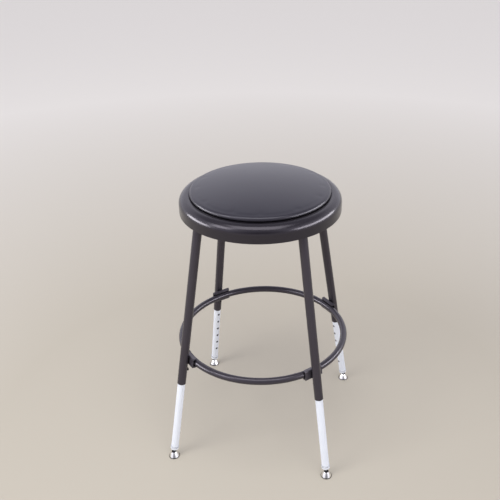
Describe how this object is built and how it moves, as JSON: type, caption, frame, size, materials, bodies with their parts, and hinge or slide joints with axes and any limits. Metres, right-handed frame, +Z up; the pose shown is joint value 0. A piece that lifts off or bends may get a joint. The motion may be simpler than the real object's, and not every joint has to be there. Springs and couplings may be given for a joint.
{
  "type": "office stool",
  "caption": "Round padded stool on splayed tube legs with a foot ring, sliding leg extensions held by lock screws, and swivel glides.",
  "frame": {"origin": "floor level under the middle of the seat", "axes": "+Z up, the legs stand on the diagonals of X and Y"},
  "size_m": [0.4079, 0.408, 0.6565],
  "materials": {
    "powder_coat": "satin charcoal powder coat",
    "vinyl": "smooth charcoal vinyl",
    "foam": "open-cell foam",
    "plywood": "raw plywood",
    "zinc": "zinc plated",
    "bright_tube": "bright plated tube",
    "nickel": "nickel plated",
    "black_screw": "black oxide",
    "rubber": "moulded rubber"
  },
  "bodies": {
    "frame": {"seat_pan": "powder_coat", "seat_board": "plywood", "seat_foam": "foam", "seat_cover": "vinyl", "cover_staples": "zinc", "cushion_screws": "zinc", "cushion_tee_nuts": "zinc", "foot_ring": "powder_coat", "leg_tube_front_left": "powder_coat", "ring_bracket_front_left": "powder_coat", "leg_tube_front_right": "powder_coat", "ring_bracket_front_right": "powder_coat", "leg_tube_rear_right": "powder_coat", "ring_bracket_rear_right": "powder_coat", "leg_tube_rear_left": "powder_coat", "ring_bracket_rear_left": "powder_coat"},
    "extension_front_left": {"leg_extension_front_left": "bright_tube", "glide_collar_front_left": "nickel", "glide_stem_front_left": "zinc"},
    "lock_screw_front_left": {"lock_screw_front_left": "black_screw"},
    "glide_bushing_front_left": {"glide_bushing_front_left": "rubber"},
    "glide_base_front_left": {"glide_base_front_left": "nickel"},
    "extension_front_right": {"leg_extension_front_right": "bright_tube", "glide_collar_front_right": "nickel", "glide_stem_front_right": "zinc"},
    "lock_screw_front_right": {"lock_screw_front_right": "black_screw"},
    "glide_bushing_front_right": {"glide_bushing_front_right": "rubber"},
    "glide_base_front_right": {"glide_base_front_right": "nickel"},
    "extension_rear_right": {"leg_extension_rear_right": "bright_tube", "glide_collar_rear_right": "nickel", "glide_stem_rear_right": "zinc"},
    "lock_screw_rear_right": {"lock_screw_rear_right": "black_screw"},
    "glide_bushing_rear_right": {"glide_bushing_rear_right": "rubber"},
    "glide_base_rear_right": {"glide_base_rear_right": "nickel"},
    "extension_rear_left": {"leg_extension_rear_left": "bright_tube", "glide_collar_rear_left": "nickel", "glide_stem_rear_left": "zinc"},
    "lock_screw_rear_left": {"lock_screw_rear_left": "black_screw"},
    "glide_bushing_rear_left": {"glide_bushing_rear_left": "rubber"},
    "glide_base_rear_left": {"glide_base_rear_left": "nickel"}
  },
  "joints": [
    {"name": "leg_slide_front_left", "type": "slide", "parent": "frame", "child": "extension_front_left", "axis": [-0.1244, -0.1244, -0.9844], "range_m": [-0.1778, 0.0254]},
    {"name": "lock_screw_drive_front_left", "type": "slide", "parent": "frame", "child": "lock_screw_front_left", "axis": [-0.6961, -0.6961, 0.1759], "range_m": [0, 0.0019]},
    {"name": "glide_tilt_front_left", "type": "hinge", "parent": "extension_front_left", "child": "glide_bushing_front_left", "pos_m": [-0.18601, -0.18601, 0.008], "axis": [0.7071, -0.7071, 0], "range_deg": [-25.1, 4.8]},
    {"name": "glide_turn_front_left", "type": "hinge", "parent": "glide_bushing_front_left", "child": "glide_base_front_left", "pos_m": [-0.18601, -0.18601, 0.008], "axis": [0, 0, 1], "continuous": true},
    {"name": "leg_slide_front_right", "type": "slide", "parent": "frame", "child": "extension_front_right", "axis": [0.1244, -0.1244, -0.9844], "range_m": [-0.1778, 0.0254]},
    {"name": "lock_screw_drive_front_right", "type": "slide", "parent": "frame", "child": "lock_screw_front_right", "axis": [0.6961, -0.6961, 0.1759], "range_m": [0, 0.0019]},
    {"name": "glide_tilt_front_right", "type": "hinge", "parent": "extension_front_right", "child": "glide_bushing_front_right", "pos_m": [0.18601, -0.18601, 0.008], "axis": [0.7071, 0.7071, 0], "range_deg": [-25.1, 4.8]},
    {"name": "glide_turn_front_right", "type": "hinge", "parent": "glide_bushing_front_right", "child": "glide_base_front_right", "pos_m": [0.18601, -0.18601, 0.008], "axis": [0, 0, 1], "continuous": true},
    {"name": "leg_slide_rear_right", "type": "slide", "parent": "frame", "child": "extension_rear_right", "axis": [0.1244, 0.1244, -0.9844], "range_m": [-0.1778, 0.0254]},
    {"name": "lock_screw_drive_rear_right", "type": "slide", "parent": "frame", "child": "lock_screw_rear_right", "axis": [0.6961, 0.6961, 0.1759], "range_m": [0, 0.0019]},
    {"name": "glide_tilt_rear_right", "type": "hinge", "parent": "extension_rear_right", "child": "glide_bushing_rear_right", "pos_m": [0.18601, 0.18601, 0.008], "axis": [-0.7071, 0.7071, 0], "range_deg": [-25.1, 4.8]},
    {"name": "glide_turn_rear_right", "type": "hinge", "parent": "glide_bushing_rear_right", "child": "glide_base_rear_right", "pos_m": [0.18601, 0.18601, 0.008], "axis": [0, 0, 1], "continuous": true},
    {"name": "leg_slide_rear_left", "type": "slide", "parent": "frame", "child": "extension_rear_left", "axis": [-0.1244, 0.1244, -0.9844], "range_m": [-0.1778, 0.0254]},
    {"name": "lock_screw_drive_rear_left", "type": "slide", "parent": "frame", "child": "lock_screw_rear_left", "axis": [-0.6961, 0.6961, 0.1759], "range_m": [0, 0.0019]},
    {"name": "glide_tilt_rear_left", "type": "hinge", "parent": "extension_rear_left", "child": "glide_bushing_rear_left", "pos_m": [-0.18601, 0.18601, 0.008], "axis": [-0.7071, -0.7071, 0], "range_deg": [-25.1, 4.8]},
    {"name": "glide_turn_rear_left", "type": "hinge", "parent": "glide_bushing_rear_left", "child": "glide_base_rear_left", "pos_m": [-0.18601, 0.18601, 0.008], "axis": [0, 0, 1], "continuous": true}
  ]
}
